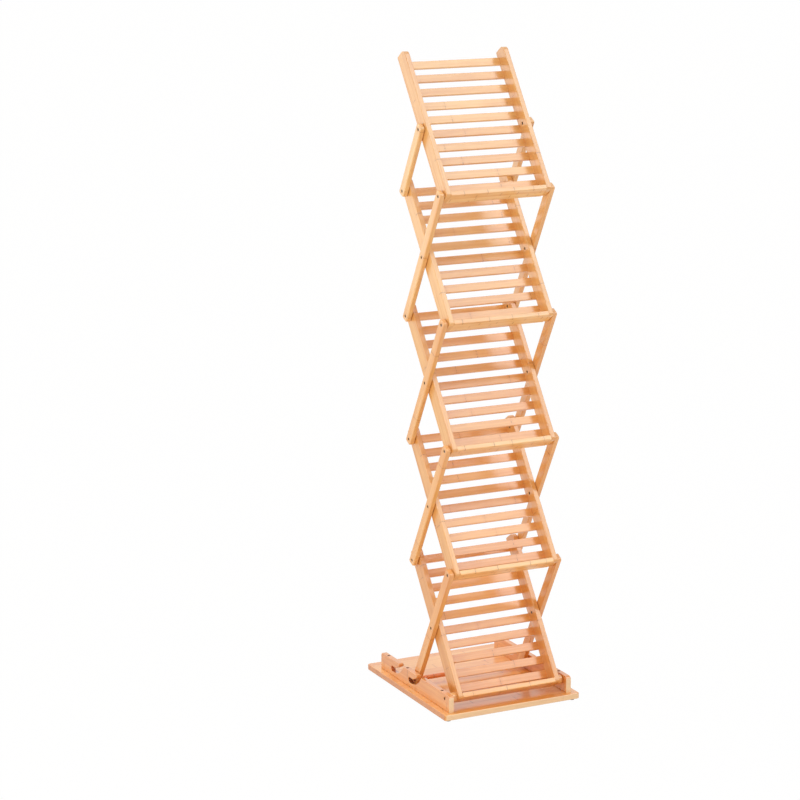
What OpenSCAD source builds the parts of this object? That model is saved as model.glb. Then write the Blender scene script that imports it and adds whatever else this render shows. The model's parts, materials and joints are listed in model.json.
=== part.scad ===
// A folding magazine rack of pale bamboo. Five slatted trays cross their side links like
// scissor arms and make a zigzag tower, which stands on a base board between two cheeks.
// The origin is at the floor under the middle of the base: +X right, +Y back, +Z up.
// Trays and links count from 1 at the top to 5 at the base.

/* [Base] */
// Width of the base board
board_w = 324; // [314:1:344]
// Depth of the base board, front to back
board_d = 375; // [370:1:400]
// Thickness of the base board
board_t = 12.5; // [11:0.5:16]
// Radius of the board's corners
board_corner_r = 6; // [4:1:20]
// Height of the rubber feet
foot_h = 4; // [2:0.5:5]
// Diameter of the rubber feet
foot_d = 12; // [10:1:20]
// Distance from the board's edges to the middle of a rubber foot
foot_inset = 13; // [11:1:30]

/* [Cheeks] */
// Thickness of each cheek
cheek_t = 12; // [11:0.5:14]
// Height of the cheeks above the board
cheek_h = 36; // [34:0.5:40]
// Length of the cheeks
cheek_len = 323.4; // [316:0.1:329]
// Distance from the board's front edge to the cheeks' front ends
cheek_setback = 12; // [8:0.5:16]
// Clear space between a cheek and the link that runs beside it
cheek_gap = 1.5; // [1:0.1:2]
// Radius of the round seat of a notch
seat_r = 5.8; // [5.5:0.1:6]
// Height of the front seat's middle above the board
seat_h = 15.1; // [14:0.1:16]
// Distance from one notch to the next
notch_pitch = 84; // [78:1:90]

/* [Tower] */
// Distance between one pivot and the next up the tower
pivot_pitch = 263.1; // [260:0.1:268]
// Distance between the front and the rear pivots
pivot_span = 163.8; // [160:0.1:168]
// Angle by which the tower leans back
lean = 3.5; // [3:0.1:4]
// Distance from the board's front edge to the front pivot
pivot_setback = 33.6; // [30:0.2:38]
// Height of the lowest pivot above the board
pivot_h = 25.1; // [24:0.1:28]

/* [Trays] */
// Width of a tray over its rails
tray_w = 243.6; // [234:0.2:250]
// Thickness of a rail
rail_t = 11; // [9:0.5:12]
// Depth of a rail, front to back
rail_w = 35; // [33:0.5:36]
// Length of a rail beyond its top pivot
rail_top = 24.4; // [20:0.2:26]
// Length of a rail beyond its foot pivot
rail_foot = 9; // [8.7:0.1:10]
// Radius of the front corner of a rail's top end
rail_nose_r = 13; // [4:0.5:14]
// Radius of the rear corner of a rail's top end
rail_rear_r = 3; // [2:0.5:6]
// Radius of the corners of a rail's foot
rail_foot_r = 5; // [3:0.5:6]
// Number of slats in a tray
slat_count = 10; // [8:1:10]
// Width of a slat
slat_w = 17.5; // [14:0.5:20]
// Thickness of a slat
slat_t = 5.5; // [4:0.5:6]
// Distance from one slat to the next
slat_pitch = 32.45; // [30:0.05:32.6]
// Distance of the top slat's middle above the rails' top pivots
slat_lift = 1.5; // [-1:0.1:3]
// Thickness of the ledge that closes the foot of a tray
ledge_t = 10; // [8:0.5:10]
// Distance of the ledge's top face above the rails' foot pivots
ledge_lift = 1.5; // [1:0.1:2]
// Depth of the housings and mortises in the rails' inner faces
housing = 3; // [2:0.5:4]

/* [Links] */
// Thickness of a link
link_t = 10.5; // [10:0.5:13]
// Width of a link
link_w = 20.8; // [18:0.1:21]
// Length of a link beyond its pivots
link_end = 10; // [9:0.5:10]
// Radius of a link's corners
link_corner_r = 5; // [4:0.5:7]
// Gap between a link and a rail, filled by the washers
link_gap = 1.2; // [1.1:0.1:2]

/* [Pins and screws] */
// Diameter of a pivot pin
pin_d = 5; // [4:0.5:5.5]
// Diameter of a pin's heads
head_d = 6.5; // [6:0.5:8]
// Thickness of a pin's heads
head_t = 2; // [1.5:0.1:2.5]
// Depth of a pin's heads below the wood
head_recess = 0.8; // [0.5:0.1:1.2]
// Diameter of a washer
washer_d = 12; // [10:0.5:14]
// Diameter of the spacers beside the lowest pivot
spacer_d = 20; // [16:0.5:20]
// Diameter of the foot bar that rests in the notches
bar_d = 10; // [9:0.1:10.4]
// Diameter of a cheek screw
screw_d = 4; // [3:0.5:5]
// Length of a cheek screw
screw_len = 43; // [38:1:46]

/* [Hidden] */
TRAYS = [1, 2, 3, 4, 5];

// Colours of the wood, the steel and the rubber
bamboo = [0.93, 0.77, 0.57];
bamboo_slat = [0.89, 0.69, 0.46];
bamboo_base = [0.94, 0.79, 0.60];
steel = [0.45, 0.42, 0.40];
rubber = [0.45, 0.45, 0.46];

// Running clearance between a pin and its hole, all round
pin_play = 0.1;
// Gap left between pieces that turn past each other
side_play = 0.1;
// Extra length of a cut, so that it passes the face that it opens
cut = 1;
// Sides of round pieces in the preview
round_sides = 48;

// Front and rear height of the tower's lowest pivot
board_top = foot_h + board_t;
pivot_y = pivot_setback - board_d / 2;
pivot_z = board_top + pivot_h;
half_arm = norm([pivot_pitch, pivot_span]) / 2;
arm_angle = atan2(pivot_pitch, pivot_span);
tray_slope = arm_angle - lean;
link_slope = arm_angle + lean;

// Distances from the middle plane to the faces of the side pieces
rail_out = tray_w / 2;
rail_in = rail_out - rail_t;
link_in = rail_out + link_gap;
link_out = link_in + link_t;
cheek_in = link_out + cheek_gap;
cheek_out = cheek_in + cheek_t;

// Places on a tray, measured from its foot pivots along the rails or towards the front
rail_front = rail_w / 2;
rail_rear = -rail_w / 2;
ledge_low = ledge_lift - ledge_t;
slat_top = 2 * half_arm + slat_lift + slat_w / 2;

// Shape of a notch, forward and up from the middle of its round seat
floor_run = 7;
ramp_r = 55;
ramp_angle = 50;
nose_reach = 34;
nose_r = 4;
nose_angle = 25;
arc_steps = 8;

// Corners of a cheek
cheek_front_r = 8;
cheek_rear_r = 6;

// Screws of a cheek, behind the lowest pivot
screw_places = [21, 183, 275];
screw_head_d = 7;
screw_head_h = 3.2;
screw_sink = 0.6;

// Margin of a ledge's tenon inside its faces, and wood left between it and a foot pin's tip
tenon_margin = 2.5;
pin_stop = 1;
pin_tip = rail_in + housing + pin_stop;

// Points of the tower, as [y, z], before and after it leans back
function leaned(y, z) = [
    pivot_y + y * cos(lean) + z * sin(lean),
    pivot_z + z * cos(lean) - y * sin(lean)
];
function front_pivot(k) = leaned(0, (6 - k) * pivot_pitch);
function mid_pivot(k) = leaned(pivot_span / 2, (5.5 - k) * pivot_pitch);

// Points of an arc, as [x, y], with its ends
function arc(middle, r, from, to) = [
    for (i = [0 : arc_steps])
        let (a = from + (to - from) * i / arc_steps)
            middle + r * [cos(a), sin(a)]
];

// Points of a box with round corners: their radii go round from the lowest one, anticlockwise
function round_box(low, high, r) = concat(
    arc(low + [r[0], r[0]], r[0], 180, 270),
    arc([high[0] - r[1], low[1] + r[1]], r[1], 270, 360),
    arc(high - [r[2], r[2]], r[2], 0, 90),
    arc([low[0] + r[3], high[1] - r[3]], r[3], 90, 180)
);

// Puts a shape that is drawn along Y and up Z at a tray's foot pivot, or at a link's middle
module on_tray(k) {
    foot = front_pivot(k + 1);
    translate([0, foot[0], foot[1]]) rotate([tray_slope, 0, 0]) children();
}
module on_link(k) {
    middle = mid_pivot(k);
    translate([0, middle[0], middle[1]]) rotate([-link_slope, 0, 0]) children();
}

// Stands a flat outline up in the YZ plane, from one X to a larger one
module side_plate(x_from, x_to) {
    translate([x_from, 0, 0]) rotate([90, 0, 90]) linear_extrude(x_to - x_from) children();
}

// A round bar along X, from one X to a larger one, at a place along Y
module round_bar(x_from, x_to, d, at = 0) {
    translate([x_from, at, 0]) rotate([0, 90, 0]) cylinder(h = x_to - x_from, d = d, $fn = round_sides);
}

// Makes the left-hand twin of a right-hand piece
module mirrored(left) {
    if (left) mirror([1, 0, 0]) children();
    else children();
}

// Base board
module base_board() color(bamboo_base)
    difference() {
        half = [board_w / 2, board_d / 2];
        translate([0, 0, foot_h]) linear_extrude(board_t)
            polygon(round_box(-half, half, board_corner_r * [1, 1, 1, 1]));
        for (side = [-1, 1])
            for (y = screw_places)
                translate([side * (cheek_in + cheek_t / 2), pivot_y + y, 0]) screw_hole();
    }

// Four rubber feet under the board's corners
module rubber_feet() color(rubber)
    for (x = [-1, 1])
        for (y = [-1, 1])
            translate([x * (board_w / 2 - foot_inset), y * (board_d / 2 - foot_inset), 0])
                cylinder(h = foot_h, d = foot_d, $fn = round_sides);

// A hooked notch: a round seat, a floor that ramps up to the mouth, and a nose above it
module notch() {
    top = cheek_h - seat_h;
    ramp_end = [-floor_run, ramp_r - seat_r] + ramp_r * [cos(270 - ramp_angle), sin(270 - ramp_angle)];
    mouth = ramp_end[0] - (top + cut - ramp_end[1]) / tan(ramp_angle);
    nose_mid = [nose_r - nose_reach, top - nose_r];
    nose_low = nose_mid - nose_r * [sin(nose_angle), cos(nose_angle)];
    throat = nose_low[0] + (nose_low[1] - seat_r) / tan(nose_angle);
    circle(r = seat_r, $fn = round_sides);
    polygon(concat(
        [[0, seat_r], [0, -seat_r]],
        arc([-floor_run, ramp_r - seat_r], ramp_r, 270, 270 - ramp_angle),
        [[mouth, top + cut], [nose_mid[0], top + cut]],
        arc(nose_mid, nose_r, 90, 270 - nose_angle),
        [[throat, seat_r]]
    ));
}

// Outline of a cheek in the YZ plane, with its two notches
module cheek_outline() {
    front = cheek_setback - board_d / 2;
    back = front + cheek_len;
    top = board_top + cheek_h;
    difference() {
        polygon(concat(
            [[front, board_top], [back, board_top]],
            arc([back - cheek_rear_r, top - cheek_rear_r], cheek_rear_r, 0, 90),
            arc([front + cheek_front_r, top - cheek_front_r], cheek_front_r, 90, 180)
        ));
        for (step = [0, notch_pitch])
            translate([leaned(pivot_span, 0)[0] + step, board_top + seat_h]) notch();
    }
}

// One cheek, with its pivot hole and its screw holes
module cheek() color(bamboo_base)
    difference() {
        side_plate(cheek_in, cheek_out) cheek_outline();
        translate([0, pivot_y, pivot_z]) pin_hole(cheek_in, cheek_out);
        translate([0, pivot_y, pivot_z]) head_hole(cheek_out);
        for (y = screw_places)
            translate([cheek_in + cheek_t / 2, pivot_y + y, 0]) screw_hole();
    }
module cheek_left() mirrored(true) cheek();
module cheek_right() mirrored(false) cheek();

// A cheek screw, sunk below the cheek's top face, and the hole that it sits in
module screw(play) {
    top = board_top + cheek_h - screw_sink;
    translate([0, 0, top - screw_len]) cylinder(h = screw_len, d = screw_d + play, $fn = round_sides);
    translate([0, 0, top - screw_head_h])
        cylinder(h = screw_head_h, d1 = screw_d + play, d2 = screw_head_d + play, $fn = round_sides);
}
module screw_hole() {
    screw(2 * pin_play);
    translate([0, 0, board_top + cheek_h - screw_sink])
        cylinder(h = screw_sink + cut, d = screw_head_d + 2 * pin_play, $fn = round_sides);
}
module cheek_screws() color(steel)
    for (side = [-1, 1])
        for (y = screw_places)
            translate([side * (cheek_in + cheek_t / 2), pivot_y + y, 0]) screw(0);

// Holes for the pins: a running hole, and a flat recess for a head in a face turned outwards
module pin_hole(x_from, x_to, at = 0) {
    round_bar(x_from - cut, x_to + cut, pin_d + 2 * pin_play, at);
}
module head_hole(face, at = 0) {
    round_bar(face - head_recess - head_t, face + cut, head_d + 4 * pin_play, at);
}
module inner_head_hole(face, at = 0) {
    round_bar(face - cut, face + head_recess + head_t, head_d + 4 * pin_play, at);
}

// A pin with a head in the outer face, and either an inner head or a tip inside the rail
module pin(outer_face, at = 0) {
    round_bar(rail_in + head_recess, outer_face - head_recess, pin_d, at);
    round_bar(outer_face - head_recess - head_t, outer_face - head_recess, head_d, at);
    round_bar(rail_in + head_recess, rail_in + head_recess + head_t - side_play, head_d, at);
}
module foot_pin(outer_face, at = 0) {
    round_bar(pin_tip, outer_face - head_recess, pin_d, at);
    round_bar(outer_face - head_recess - head_t, outer_face - head_recess, head_d, at);
}

// Round spacers that fill the space between the lowest rails and the cheeks
module front_spacers() color(bamboo)
    for (left = [false, true])
        mirrored(left) translate([0, pivot_y, pivot_z])
            difference() {
                round_bar(rail_out + side_play, cheek_in, spacer_d);
                pin_hole(rail_out, cheek_in);
            }

// Pins of the lowest pivot, through the cheeks and the spacers into the rails
module front_pivot_pins() color(steel)
    for (left = [false, true])
        mirrored(left) translate([0, pivot_y, pivot_z]) foot_pin(cheek_out);

// A rail: its outline lies along Y from the foot pivot, and the top tray has no top pivot
module rail(k) color(bamboo) on_tray(k)
    difference() {
        side_plate(rail_in, rail_out) polygon(round_box(
            [-rail_foot, rail_rear],
            [2 * half_arm + rail_top, rail_front],
            [rail_foot_r, rail_rear_r, rail_nose_r, rail_foot_r]
        ));
        round_bar(pin_tip, rail_out + cut, pin_d + 2 * pin_play);
        for (at = k == 1 ? [half_arm] : [half_arm, 2 * half_arm]) {
            pin_hole(rail_in, rail_out, at);
            inner_head_hole(rail_in, at);
        }
        slat_row(rail_in + housing, cut);
        ledge_bar(rail_in + housing, tenon_margin);
    }

// The slats of a tray, flush with the rails' rear edges
module slat_row(half_width, past) {
    for (i = [0 : slat_count - 1])
        translate([-half_width, slat_top - i * slat_pitch - slat_w, rail_rear - past])
            cube([2 * half_width, slat_w, slat_t + past]);
}
module slats(k) color(bamboo_slat) on_tray(k) slat_row(rail_in + housing, 0);

// The ledge of a tray: a bar as deep as the rails, with a stub tenon on each end
module ledge_bar(half_width, margin) {
    translate([-half_width, ledge_low + margin, rail_rear + margin])
        cube([2 * half_width, ledge_t - 2 * margin, rail_w - 2 * margin]);
}
module ledge(k) color(bamboo) on_tray(k) {
    ledge_bar(rail_in, 0);
    ledge_bar(rail_in + housing, tenon_margin);
}

// Places of a link's pivots from its middle: the front one is missing on the half link
function link_pivots(k) = k == 1 ? [0, half_arm] : [-half_arm, 0, half_arm];

// A link: level 1 has only its lower half, and level 5 holds the foot bar
module link(k) color(bamboo) on_link(k) {
    pivots = link_pivots(k);
    pins = k == 5 ? [-half_arm, 0] : pivots;
    difference() {
        side_plate(link_in, link_out) polygon(round_box(
            [pivots[0] - link_end, -link_w / 2],
            [half_arm + link_end, link_w / 2],
            link_corner_r * [1, 1, 1, 1]
        ));
        for (at = pins) {
            pin_hole(link_in, link_out, at);
            head_hole(link_out, at);
        }
        if (k == 5) round_bar(link_in - cut, link_out + cut, bar_d + 2 * pin_play, half_arm);
    }
}

// Pins of one level: the front one ends inside the foot of the rail above
module pivot_pins(k) color(steel) on_link(k)
    for (left = [false, true])
        mirrored(left) {
            if (k > 1) foot_pin(link_out, -half_arm);
            pin(link_out);
            if (k < 5) pin(link_out, half_arm);
        }

// Washers of one level, between the links and the rails
module washers(k) color(steel) on_link(k)
    for (left = [false, true])
        mirrored(left)
            for (at = link_pivots(k))
                if (k < 5 || at < half_arm)
                    difference() {
                        round_bar(rail_out + side_play, link_in, washer_d, at);
                        pin_hole(rail_out, link_in, at);
                    }

// The foot bar through the lowest links, which ends just short of the cheeks
module foot_bar() color(bamboo_slat) on_link(5)
    round_bar(-cheek_in + 3 * side_play, cheek_in - 3 * side_play, bar_d, half_arm);

base_board();
cheek_left();
cheek_right();
rubber_feet();
cheek_screws();
front_spacers();
front_pivot_pins();
foot_bar();
for (k = TRAYS) {
    mirrored(true) rail(k);
    mirrored(false) rail(k);
    slats(k);
    ledge(k);
    mirrored(true) link(k);
    mirrored(false) link(k);
    pivot_pins(k);
    washers(k);
}
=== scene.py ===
import bmesh
import bpy
import json
from math import atan2, cos, pi, radians, sin
from mathutils import Euler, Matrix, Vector


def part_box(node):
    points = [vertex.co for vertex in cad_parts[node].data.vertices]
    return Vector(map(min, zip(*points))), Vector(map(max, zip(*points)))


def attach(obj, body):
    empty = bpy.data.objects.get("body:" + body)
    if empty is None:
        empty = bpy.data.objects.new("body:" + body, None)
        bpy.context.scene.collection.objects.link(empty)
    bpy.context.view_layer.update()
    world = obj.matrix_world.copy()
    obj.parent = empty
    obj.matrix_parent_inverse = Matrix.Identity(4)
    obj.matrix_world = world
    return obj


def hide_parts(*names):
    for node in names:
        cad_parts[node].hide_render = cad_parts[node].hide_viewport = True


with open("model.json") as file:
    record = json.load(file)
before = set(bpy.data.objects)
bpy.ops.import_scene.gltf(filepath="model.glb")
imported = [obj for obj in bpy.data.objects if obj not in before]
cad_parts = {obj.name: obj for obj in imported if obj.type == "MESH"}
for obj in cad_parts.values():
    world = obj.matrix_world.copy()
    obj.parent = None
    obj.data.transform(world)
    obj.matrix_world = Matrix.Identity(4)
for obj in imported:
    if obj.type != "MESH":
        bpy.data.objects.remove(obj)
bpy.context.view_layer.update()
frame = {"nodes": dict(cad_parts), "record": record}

# Base board: one thick panel of laminated bamboo, 324 x 375 mm, with round
# corners. It is sawn, sanded so that every arris is soft, and lacquered. Its
# sides show darker cut ends of the strips, darkened further as painted shade, and its front edge is
# painted paler as painted light.
mm = 0.001
board_arris = 1.6 * mm
panel_light = (246, 186, 108)
panel_deep = (228, 148, 66)
# Painted shade on the board's sides, over their cut ends, and painted light on front edges.
cut_end_and_shade_tone = (202, 118, 26)
painted_light_tone = (255, 236, 200)
cut_end_and_shade_share = 0.75
front_light_share = 0.6
edge_skin, edge_depth = 0.4 * mm, 1.2 * mm
knuckle_tone = (150, 88, 40)
close = 0.02 * mm
weld = 0.002 * mm
flat = 0.99
flush_angle = radians(0.6)
crease_angle = radians(32)
corner_angle = radians(40)
body_of_node = {node: body for body, nodes in frame["record"]["behaviour"]["bodies"].items()
                for node in nodes}


def tone(red, green, blue):
    """A colour from a 0 to 255 chart, as the numbers that a shader mixes."""
    chart = [v / 255 for v in (red, green, blue)]
    return [v / 12.92 if v < 0.04045 else ((v + 0.055) / 1.055) ** 2.4 for v in chart] + [1]


class Grain:
    """One value or colour of a finish, used in sums like a number."""
    def __init__(self, tree, socket=None):
        self.tree, self.socket = tree, socket

    def node(self, kind, settings=(), sockets=(), out=0):
        """A new node of any kind, with its settings and the values or links of its sockets."""
        made = self.tree.nodes.new(kind)
        for name, value in dict(settings).items():
            setattr(made, name, value)
        for key, value in dict(sockets).items():
            if isinstance(value, Grain):
                self.tree.links.new(value.socket, made.inputs[key])
            else:
                made.inputs[key].default_value = value
        return Grain(self.tree, made.outputs[out])

    def maths(self, operation, *values):
        return self.node("ShaderNodeMath", {"operation": operation}, dict(enumerate(values)))

    def __add__(self, other): return self.maths("ADD", self, other)
    def __radd__(self, other): return self.maths("ADD", other, self)
    def __sub__(self, other): return self.maths("SUBTRACT", self, other)
    def __rsub__(self, other): return self.maths("SUBTRACT", other, self)
    def __mul__(self, other): return self.maths("MULTIPLY", self, other)
    def __rmul__(self, other): return self.maths("MULTIPLY", other, self)
    def __truediv__(self, other): return self.maths("DIVIDE", self, other)
    def __rtruediv__(self, other): return self.maths("DIVIDE", other, self)

    def fade(self, low, high):
        """0 below low, 1 above high, and a smooth step between them."""
        return self.node("ShaderNodeMapRange", {"interpolation_type": "SMOOTHSTEP"},
                         {"Value": self, "From Min": low, "From Max": high})

    def parts(self):
        """The X, Y and Z of a place."""
        split = self.node("ShaderNodeSeparateXYZ", (), {0: self}).socket.node
        return [Grain(self.tree, part) for part in split.outputs]

    def chance(self, *seeds):
        """A random number from 0 to 1 for each whole value."""
        spot = self.node("ShaderNodeCombineXYZ", (), dict(enumerate((self, *seeds))))
        return self.node("ShaderNodeTexWhiteNoise", {"noise_dimensions": "3D"}, {"Vector": spot})

    def blend(self, low, high):
        """low where this is 0, high where it is 1: colours or finishes mixed by it."""
        return self.node("ShaderNodeMix", {"data_type": "RGBA"}, {0: self, 6: low, 7: high}, out=2)

    def stretched(self, run, side, depth, detail=2.0):
        """Noise drawn out along the grain: this is a place, the rest features per metre."""
        spot = self.node("ShaderNodeVectorMath", {"operation": "MULTIPLY"},
                         {0: self, 1: (run, side, depth)})
        return self.node("ShaderNodeTexNoise", (), {"Vector": spot, "Scale": 1.0, "Detail": detail})


def bamboo(name, light, deep, place=(0, 0, 0), slope=0.0, grain="xyz", strip=20 * mm,
           first=0.0, knuckle=190 * mm, seed=0.0, ticks=0.5):
    """Lacquered bamboo. Its strips lie side by side, with a knuckle line here and there."""
    wood = bpy.data.materials.new(name)
    wood.use_nodes = True
    tree = wood.node_tree
    shader = tree.nodes["Principled BSDF"]
    where = Grain(tree).node("ShaderNodeTexCoord", out=3)
    local = where.node("ShaderNodeMapping", {"vector_type": "TEXTURE"},
                       {"Vector": where, "Location": place, "Rotation": (slope, 0, 0)})
    line_core, line_edge = 0.3 * mm, 1.2 * mm
    halo_core, halo_edge = 1 * mm, 9 * mm
    waver = 2.4 * mm
    axes = dict(zip("xyz", local.parts()))
    run, side, depth = (axes[letter] for letter in grain)
    spot = run.node("ShaderNodeCombineXYZ", (), {0: run, 1: side, 2: depth})

    across = (side - first) / strip
    lane = across.maths("FLOOR", across)
    luck = lane.chance(seed, 0.5)
    beat = run / knuckle + luck * 9.7
    count = beat.maths("FLOOR", beat)
    centre = count.chance(lane, seed + 3.5) * 0.6 + 0.2
    wobble = spot.stretched(160, 160, 160, 1.0)
    apart = beat - count - centre
    apart = apart.maths("ABSOLUTE", apart) * knuckle + (wobble - 0.5) * waver
    patchy = spot.stretched(90, 240, 240, 1.0).fade(0.42, 0.62)
    line = (1 - apart.fade(line_core, line_edge)) * (patchy * ticks + (1 - ticks))
    halo = 1 - apart.fade(halo_core, halo_edge)

    fibre = spot.stretched(14, 1150, 1150, 3.0)
    streak = spot.stretched(5, 150, 150, 3.0)
    cloud = spot.stretched(12, 26, 26, 2.0)
    warmth = ((fibre - 0.5) * 0.8 + (streak - 0.5) * 1.0 + (cloud - 0.5) * 0.7 + (luck - 0.5) * 0.5)
    warmth = warmth + 0.5 + halo * 0.12
    colour = warmth.fade(0.0, 1.0).blend(tone(*light), tone(*deep))
    colour = (line * 0.6).blend(colour, tone(*knuckle_tone))
    rough = fibre * 0.16 + 0.36
    height = fibre * 0.6 - line * 0.5 + streak * 0.3
    bump = height.node("ShaderNodeBump", (),
                       {"Height": height, "Strength": 0.22, "Distance": 0.3 * mm})
    tree.links.new(colour.socket, shader.inputs["Base Color"])
    tree.links.new(rough.socket, shader.inputs["Roughness"])
    tree.links.new(bump.socket, shader.inputs["Normal"])
    for finish, value in (("Coat Weight", 1.0), ("Coat Roughness", 0.2), ("Coat IOR", 1.7)):
        shader.inputs[finish].default_value = value
    return wood


def paint_light_and_shade(wood, painter):
    """Lets the given function change a finish's colour from place to place; here it paints light
    and shade into the wood's colour.
    """
    tree = wood.node_tree
    colour = tree.nodes["Principled BSDF"].inputs["Base Color"]
    plain = Grain(tree, colour.links[0].from_socket)
    x, y, z = Grain(tree).node("ShaderNodeTexCoord", out=3).parts()
    tree.links.new(painter(plain, x, y, z).socket, colour)


def merged(node):
    """A bmesh of a node whose loose triangles are joined into whole flat faces."""
    bm = bmesh.new()
    bm.from_mesh(frame["nodes"][node].data)
    bmesh.ops.remove_doubles(bm, verts=bm.verts, dist=weld)
    bmesh.ops.dissolve_limit(bm, angle_limit=flush_angle, verts=bm.verts, edges=bm.edges)
    return bm


def softened(bm, edges, size, steps):
    """Rounds the edges, and cuts every face of more than four corners into triangles."""
    bmesh.ops.bevel(bm, geom=edges, offset=size, segments=steps, affect="EDGES", profile=0.5,
                    material=-1, clamp_overlap=True)
    bmesh.ops.triangulate(bm, faces=[f for f in bm.faces if len(f.verts) > 4])
    for face in bm.faces:
        face.smooth = True


def in_place_of(node, name, bm, finish):
    """Makes the bmesh a piece that takes a node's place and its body."""
    mesh = bpy.data.meshes.new(name)
    bm.to_mesh(mesh)
    bm.free()
    mesh.set_sharp_from_angle(angle=crease_angle)
    piece = bpy.data.objects.new(name, mesh)
    bpy.context.scene.collection.objects.link(piece)
    piece.data.materials.append(finish)
    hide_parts(node)
    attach(piece, body_of_node[node])
    return piece


def sanded(node, wood, picked, arris, steps=3):
    """A copy of a node whose arrises are rounded: the edges that picked(edge) accepts."""
    bm = merged(node)
    arrises = [e for e in bm.edges
               if len(e.link_faces) == 2 and e.calc_face_angle(0) > corner_angle and picked(e)]
    softened(bm, arrises, arris, steps)
    piece = in_place_of(node, "sanded_" + node, bm, wood)
    normals = piece.modifiers.new("flat faces stay flat", "WEIGHTED_NORMAL")
    normals.keep_sharp = True


def outline_arris(node, axis):
    """Accepts the edges between a side of the plate and a wall that runs through it all."""
    low, high = (corner[axis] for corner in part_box(node))

    def at_side(face):
        return (abs(face.normal[axis]) > flat
                and any(abs(face.verts[0].co[axis] - side) < close for side in (low, high)))

    def through(face):
        across = [v.co[axis] for v in face.verts]
        return (abs(face.normal[axis]) < 1 - flat
                and max(across) - min(across) > high - low - close)

    def accept(edge):
        one, two = edge.link_faces
        return (at_side(one) and through(two)) or (at_side(two) and through(one))
    return accept


board_wood = bamboo("bamboo board", panel_light, panel_deep, strip=24 * mm,
                    knuckle=230 * mm, seed=11)
board_low, board_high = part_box("base_board")


def board_shade_and_light(plain, x, y, z):
    """Painted shade over darker cut ends at the board's two sides, and painted light on its paler
    front edge.
    """
    across = x.maths("ABSOLUTE", x)
    side = across.fade(board_high[0] - edge_depth, board_high[0] - edge_skin)
    front = 1 - y.fade(board_low[1] + edge_skin, board_low[1] + edge_depth)
    shaded_sides = (side * cut_end_and_shade_share).blend(plain, tone(*cut_end_and_shade_tone))
    return (front * front_light_share).blend(shaded_sides, tone(*painted_light_tone))


paint_light_and_shade(board_wood, board_shade_and_light)
sanded("base_board", board_wood, outline_arris("base_board", 2), board_arris)

# Cheeks: two solid bamboo bars on edge, each with two hooked notches cut from
# its top, sanded all round and screwed down on to the board. Their front ends
# are painted paler as painted light, and the seats of the notches are painted dark as painted
# shade.
cheek_arris = 1.4 * mm
cheek_light = (246, 178, 100)
cheek_deep = (222, 138, 60)
# Painted light on the cheeks' front ends.
lit_end_share = 0.7
end_skin, end_depth = 0.5 * mm, 1.5 * mm
side_skin, side_depth = 1.0 * mm, 2.2 * mm
top_skin, top_depth = 1.4 * mm, 2.6 * mm
seat_reach = (-13 * mm, -9 * mm, 10 * mm, 12 * mm)
cheek_low, cheek_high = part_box("cheek_right")
bar_low, bar_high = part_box("foot_bar")
notch_pitch = 84 * mm
front_seat = (bar_low[1] + bar_high[1]) / 2
# Painted shade in each notch seat: a dark tone and its share.
seats = ((front_seat, (118, 34, 6), 0.85), (front_seat + notch_pitch, (186, 90, 36), 0.8))
cheek_wood = bamboo("bamboo cheek", cheek_light, cheek_deep, grain="yzx",
                    strip=20 * mm, first=14 * mm, knuckle=200 * mm, seed=4)


def band(place, start, full, waning, end):
    """1 from full to waning, 0 before start and after end, with smooth steps."""
    return place.fade(start, full) * (1 - place.fade(waning, end))


def seat_shade_and_lit_end(plain, x, y, z):
    """Painted shade in the seats of the notches, between the arrises, and painted light on the
    front end.
    """
    across = x.maths("ABSOLUTE", x)
    in_plate = band(across, cheek_low[0] + side_skin, cheek_low[0] + side_depth,
                    cheek_high[0] - side_depth, cheek_high[0] - side_skin)
    below_top = 1 - z.fade(cheek_high[2] - top_depth, cheek_high[2] - top_skin)
    for seat, seat_shade, share in seats:
        in_seat = band(y, *(seat + reach for reach in seat_reach))
        plain = (in_plate * below_top * in_seat * share).blend(plain, tone(*seat_shade))
    # Painted light: a paler front end.
    lit_front_end = 1 - y.fade(cheek_low[1] + end_skin, cheek_low[1] + end_depth)
    return (lit_front_end * lit_end_share).blend(plain, tone(*painted_light_tone))


paint_light_and_shade(cheek_wood, seat_shade_and_lit_end)
for side in ("left", "right"):
    sanded("cheek_" + side, cheek_wood, outline_arris("cheek_" + side, 0), cheek_arris)

# Trays, rails: on each side of a tray a long flat bamboo rail stands on edge.
# Its ends are rounded, and shallow housings in its inner face take the slats.
pivot_pitch = 263.1 * mm
pivot_span = 163.8 * mm
lean = radians(3.5)
lowest_pivot = Vector((0, -153.9 * mm, 41.6 * mm))
half_arm = Vector((pivot_pitch, pivot_span)).length / 2
arm_angle = atan2(pivot_pitch, pivot_span)
tray_slope = arm_angle - lean
link_slope = -arm_angle - lean
rail_arris = 1.5 * mm
rail_light = (240, 186, 112)
rail_deep = (220, 150, 72)
levels = (1, 2, 3, 4, 5)


def tone_lit_by_height(level, middle, green_step, blue_step):
    """The tone of a wood at one level: the middle one's, painted paler above it as painted light
    and warmer below as painted shade.
    """
    above = levels[2] - level
    return (middle[0], middle[1] + green_step * above, middle[2] + blue_step * above)


def tower(across, up):
    """A point of the tower's zigzag, given before the tower leans back."""
    return lowest_pivot + Vector((0, across * cos(lean) + up * sin(lean),
                                  up * cos(lean) - across * sin(lean)))


tray_foot = {level: tower(0, (5 - level) * pivot_pitch) for level in levels}
link_middle = {level: tower(pivot_span / 2, (5.5 - level) * pivot_pitch) for level in levels}
for level in levels:
    rail_wood = bamboo(f"bamboo rail {level}", tone_lit_by_height(level, rail_light, 2, 4),
                       tone_lit_by_height(level, rail_deep, 2, 4),
                       place=tray_foot[level], slope=tray_slope, grain="yzx", strip=17.5 * mm,
                       first=8.75 * mm, knuckle=210 * mm, seed=20 + level)
    for side in ("left", "right"):
        node = f"rail_{side}_{level}"
        sanded(node, rail_wood, outline_arris(node, 0), rail_arris)

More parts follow.
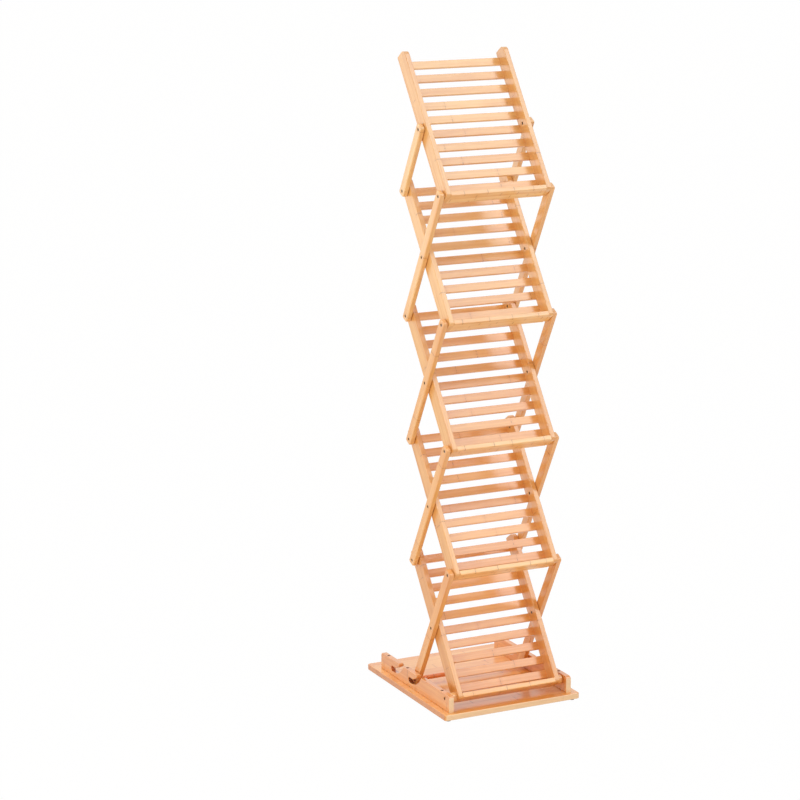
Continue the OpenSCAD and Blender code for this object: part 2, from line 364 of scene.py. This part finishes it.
# Trays, slats: ten thin bamboo slats run across each tray's back. Each is one
# strip with its own tone and a knuckle or two, glued into the rails' housings.
slat_pitch = 32.45 * mm
slat_lift = 1.5 * mm
slat_arris = 0.8 * mm
slat_light = (242, 185, 110)
slat_deep = (222, 149, 70)
least_length = 100 * mm


def long_arris(edge):
    """Accepts the four long edges of a bar that runs across the rack."""
    one, two = (v.co for v in edge.verts)
    return abs(one.x - two.x) > least_length


for level in levels:
    slat_wood = bamboo(f"bamboo slats {level}", tone_lit_by_height(level, slat_light, 4, 6),
                       tone_lit_by_height(level, slat_deep, 4, 6),
                       place=tray_foot[level], slope=tray_slope, strip=slat_pitch,
                       first=2 * half_arm + slat_lift - slat_pitch / 2, knuckle=210 * mm,
                       seed=40 + level, ticks=0.9)
    sanded(f"slats_{level}", slat_wood, long_arris, slat_arris, steps=2)

# Trays, ledges: a flat bamboo bar as deep as the rails closes each tray's foot.
# It carries what the tray holds. Its ends are stub tenons, glued into the rails.
ledge_arris = 1.2 * mm
ledge_light = (250, 204, 136)
ledge_deep = (234, 170, 94)
for level in levels:
    ledge_wood = bamboo(f"bamboo ledge {level}", tone_lit_by_height(level, ledge_light, 3, 6),
                        tone_lit_by_height(level, ledge_deep, 3, 6),
                        place=tray_foot[level], slope=tray_slope, grain="xzy", strip=11.7 * mm,
                        knuckle=60 * mm, seed=60 + level, ticks=0.45)
    sanded(f"ledge_{level}", ledge_wood, long_arris, ledge_arris)

# Links: narrower bamboo bars outside the rails. They cross the trays at their
# middles, like scissor arms. Their ends are rounded and their arrises sanded.
link_arris = 1.8 * mm
link_light = (246, 195, 125)
link_deep = (229, 160, 86)
for level in levels:
    link_wood = bamboo(f"bamboo link {level}", tone_lit_by_height(level, link_light, 4, 7),
                       tone_lit_by_height(level, link_deep, 4, 7),
                       place=link_middle[level], slope=link_slope, grain="yzx", strip=30 * mm,
                       first=15 * mm, knuckle=190 * mm, seed=80 + level)
    for side in ("left", "right"):
        node = f"link_{side}_{level}"
        sanded(node, link_wood, outline_arris(node, 0), link_arris)

# Foot bar and spacers: turned bamboo rounds. The bar joins the lowest links and
# drops into the notches; its darker, redder tone is painted shade, darkest on its
# end grain, which sits in the shade of the notches. A spacer fills the gap beside each lowest rail,
# with a round shoulder outside.
spacer_light = (242, 188, 114)
spacer_deep = (222, 152, 74)
# Painted shade: the bar's darker, redder tones, darkest on its ends.
bar_shade_light = (250, 156, 70)
bar_shade_deep = (236, 130, 50)
bar_end_shade_tone = (132, 46, 16)
bar_end_shade_share = 0.9
grain_skin, grain_depth = 0.2 * mm, 0.6 * mm
rim_band = 0.1 * mm
bar_rim_size = 1.0 * mm
spacer_rim_size = 4.2 * mm
spacer_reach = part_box("front_spacers")[1][0]
bore_clearance = 8 * mm
round_wood = bamboo("bamboo round", spacer_light, spacer_deep, strip=30 * mm, seed=97)
bar_wood = bamboo("bamboo bar", bar_shade_light, bar_shade_deep, strip=30 * mm, seed=98)


def shaded_bar_ends(plain, x, y, z):
    """Painted shade on the two ends of the bar, where they sit in the notches."""
    along = x.maths("ABSOLUTE", x)
    in_end = along.fade(bar_high[0] - grain_depth, bar_high[0] - grain_skin)
    return (in_end * bar_end_shade_share).blend(plain, tone(*bar_end_shade_tone))


def end_rim(edge):
    """Accepts the rims of a round piece's flat ends."""
    return any(abs(face.normal.x) > flat for face in edge.link_faces)


def spacer_rim(edge):
    """Accepts the outer rim of a spacer's end on the side of the cheek, not the bore's."""
    return all(abs(v.co.x) > spacer_reach - rim_band
               and (v.co.yz - lowest_pivot.yz).length > bore_clearance for v in edge.verts)


paint_light_and_shade(bar_wood, shaded_bar_ends)
sanded("foot_bar", bar_wood, end_rim, bar_rim_size)
sanded("front_spacers", round_wood, spacer_rim, spacer_rim_size, steps=4)

# Pins, washers and screws: dark bronzed steel. Each pin and screw has a head with
# a hexagon socket, sunk a little below the wood, so that it reads as a dark dot.
# The washers lie on the pins, between a rail and a link.
pin_tone = (58, 34, 20)
washer_tone = (120, 96, 78)
steel_rough = 0.5
worn_by = 30
head_rim = 0.35 * mm
head_ring = 1.4 * mm
least_radius = 3 * mm
least_corners = 12
socket_radius = 1.9 * mm
socket_depth = 1.1 * mm
sixth_turn = pi / 3


def bronzed(name, colour, rough):
    """Steel with a thin dark coat, worn to bright metal in fine specks."""
    steel = bpy.data.materials.new(name)
    steel.use_nodes = True
    tree = steel.node_tree
    shader = tree.nodes["Principled BSDF"]
    where = Grain(tree).node("ShaderNodeTexCoord", out=3)
    speck = where.stretched(900, 900, 900, 2.0).fade(0.56, 0.7)
    tint = speck.blend(tone(*colour), tone(*[min(255, v + worn_by) for v in colour]))
    shader.inputs["Metallic"].default_value = 0.4
    tree.links.new(tint.socket, shader.inputs["Base Color"])
    tree.links.new((rough - speck * 0.12).socket, shader.inputs["Roughness"])
    return steel


def fastener(node, steel, axis):
    """A copy of a node of pins or screws with soft rims and a hexagon socket in each head."""
    bm = merged(node)

    def radius(face):
        return (face.verts[0].co - face.calc_center_median()).length

    heads = [f for f in bm.faces
             if abs(f.normal[axis]) > flat and len(f.verts) > least_corners
             and radius(f) > least_radius]
    rounds = [(head.calc_center_median(), radius(head)) for head in heads]
    for head, (middle, _) in zip(heads, rounds):
        normal = head.normal.copy()
        bmesh.ops.inset_individual(bm, faces=[head], thickness=head_ring, use_even_offset=True)
        for v in head.verts:
            spoke = v.co - middle
            angle = atan2(*[spoke[i] for i in range(3) if i != axis])
            turn = (angle + sixth_turn / 2) % sixth_turn - sixth_turn / 2
            across_flat = socket_radius * cos(sixth_turn / 2)
            v.co = middle + spoke.normalized() * (across_flat / cos(turn))
        pit = bmesh.ops.extrude_discrete_faces(bm, faces=[head])["faces"]
        bmesh.ops.translate(bm, vec=-normal * socket_depth, verts=pit[0].verts)
    rims = [e for e in bm.edges
            if any(all(abs((v.co - middle).length - size) < close for v in e.verts)
                   for middle, size in rounds)]
    softened(bm, rims, head_rim, 2)
    in_place_of(node, "turned_" + node, bm, steel)


pin_steel = bronzed("bronzed pin", pin_tone, steel_rough)
for node in [f"pivot_pins_{level}" for level in levels] + ["front_pivot_pins"]:
    fastener(node, pin_steel, 0)
fastener("cheek_screws", pin_steel, 2)
washer_steel = bronzed("washer steel", washer_tone, steel_rough)
for level in levels:
    washers = frame["nodes"][f"washers_{level}"]
    washers.data.materials.clear()
    washers.data.materials.append(washer_steel)

# Rubber feet: four low grey discs, moulded, slightly rough, glued under the
# board's corners.
foot_rim_size = 0.8 * mm
foot_dark = (128, 130, 134)
foot_pale = (160, 162, 166)
foot_rubber = bpy.data.materials.new("grey rubber")
foot_rubber.use_nodes = True
rubber_shader = foot_rubber.node_tree.nodes["Principled BSDF"]
rubber_place = Grain(foot_rubber.node_tree).node("ShaderNodeTexCoord", out=3)
pores = rubber_place.stretched(1500, 1500, 1500, 2.0)
rubber_tone = pores.blend(tone(*foot_dark), tone(*foot_pale))
foot_rubber.node_tree.links.new(rubber_tone.socket, rubber_shader.inputs["Base Color"])
foot_rubber.node_tree.links.new((pores * 0.2 + 0.6).socket, rubber_shader.inputs["Roughness"])


def foot_rim(edge):
    """Accepts the round edge at the bottom of a foot."""
    return max(v.co.z for v in edge.verts) < rim_band


sanded("rubber_feet", foot_rubber, foot_rim, foot_rim_size, steps=2)

# Photo studio: a floor and a world that look white and give warm, weak light,
# three broad suns, three softboxes and the camera at the photograph's place.
# None of it belongs to the rack.
floor_half = 30
floor_gap = 0.2 * mm
floor_tone = (0.85, 0.78, 0.68, 1)
glow_always, glow_in_view, glow_in_gloss = 0.18, 0.81, 0.5
room_tone = (1, 0.65, 0.38, 1)
room_light = 0.4
white = (1, 1, 1, 1)
lamp_white = (0.92, 0.99, 0.99)


def kinds_of_ray(tree):
    """Three masks: seen by the camera, seen in a gloss, and seen through clear things."""
    path = Grain(tree).node("ShaderNodeLightPath").socket.node.outputs
    return [Grain(tree, path[kind])
            for kind in ("Is Camera Ray", "Is Glossy Ray", "Is Transmission Ray")]


floor_mesh = bmesh.new()
bmesh.ops.create_grid(floor_mesh, x_segments=1, y_segments=1, size=floor_half)
floor_data = bpy.data.meshes.new("studio_floor")
floor_mesh.to_mesh(floor_data)
floor_mesh.free()
studio_floor = bpy.data.objects.new("studio_floor", floor_data)
bpy.context.scene.collection.objects.link(studio_floor)
studio_floor.location.z = -floor_gap
floor_white = bpy.data.materials.new("studio white")
floor_white.use_nodes = True
floor_tree = floor_white.node_tree
floor_tree.nodes.remove(floor_tree.nodes["Principled BSDF"])
in_view, in_gloss, in_clear = kinds_of_ray(floor_tree)
seen = in_view.maths("MAXIMUM", in_view, in_clear)
paint = seen.node("ShaderNodeBsdfDiffuse", (), {"Color": floor_tone})
glow = seen.node("ShaderNodeEmission", (), {"Color": white, "Strength": 1.0})
glow_share = seen * glow_in_view + in_gloss * glow_in_gloss + glow_always
lit = seen.node("ShaderNodeMixShader", (), {0: glow_share, 1: paint, 2: glow})
floor_tree.links.new(lit.socket, floor_tree.nodes["Material Output"].inputs["Surface"])
studio_floor.data.materials.append(floor_white)

world = bpy.data.worlds.new("white studio")
bpy.context.scene.world = world
world.use_nodes = True
world_tree = world.node_tree
backdrop = world_tree.nodes["Background"]
in_view, in_gloss, in_clear = kinds_of_ray(world_tree)
shown = in_view.maths("MAXIMUM", in_view, in_gloss)
shown = shown.maths("MAXIMUM", shown, in_clear)
sky = shown.blend(room_tone, white)
world_tree.links.new(sky.socket, backdrop.inputs["Color"])
world_tree.links.new((shown * (1 - room_light) + room_light).socket, backdrop.inputs["Strength"])


def hung(name, lamp, turn, place=(0, 0, 0)):
    """Hangs a lamp in the studio, turned by three angles in degrees."""
    lamp.color = lamp_white
    holder = bpy.data.objects.new(name, lamp)
    holder.location = place
    holder.rotation_euler = Euler([radians(v) for v in turn])
    bpy.context.scene.collection.objects.link(holder)
    return holder


for name, turn, power, spread in (("key light", (38, 0, 47), 0.62, 31),
                                  ("fill light", (60, 0, -25), 0.32, 60),
                                  ("top light", (20, 0, -150), 1.32, 50)):
    lamp = bpy.data.lights.new(name, "SUN")
    lamp.energy, lamp.angle = power, radians(spread)
    hung(name, lamp, turn)
for name, place, turn, size, power in (
        ("left softbox", (-1.8, -0.5, 1.2), (90, 0, -90), 1.0, 12.0),
        ("rear softbox", (-1.7, 2.7, 1.0), (90, 0, -148), 1.5, 4.0),
        ("front softbox", (0.2, -1.25, 0.2), (88, 0, 8), 1.0, 1.2)):
    lamp = bpy.data.lights.new(name, "AREA")
    lamp.energy, lamp.shape, lamp.size = power, "SQUARE", size
    hung(name, lamp, turn, place).visible_camera = False

camera_place = Vector((-2508.6, -4696.0, 1869.3)) * mm
camera_azimuth = radians(-26.432)
camera_pitch = radians(13.04)
camera = bpy.data.cameras.new("photo camera")
camera.lens, camera.sensor_width = 115.97, 36
camera.clip_start, camera.clip_end = 0.1, 100
camera_holder = bpy.data.objects.new("photo camera", camera)
bpy.context.scene.collection.objects.link(camera_holder)
back = Vector((sin(camera_azimuth) * cos(camera_pitch), -cos(camera_azimuth) * cos(camera_pitch),
               sin(camera_pitch)))
camera_holder.location = camera_place
camera_holder.rotation_euler = (-back).to_track_quat("-Z", "Y").to_euler()
bpy.context.scene.camera = camera_holder
bpy.context.scene.view_settings.view_transform = "Standard"
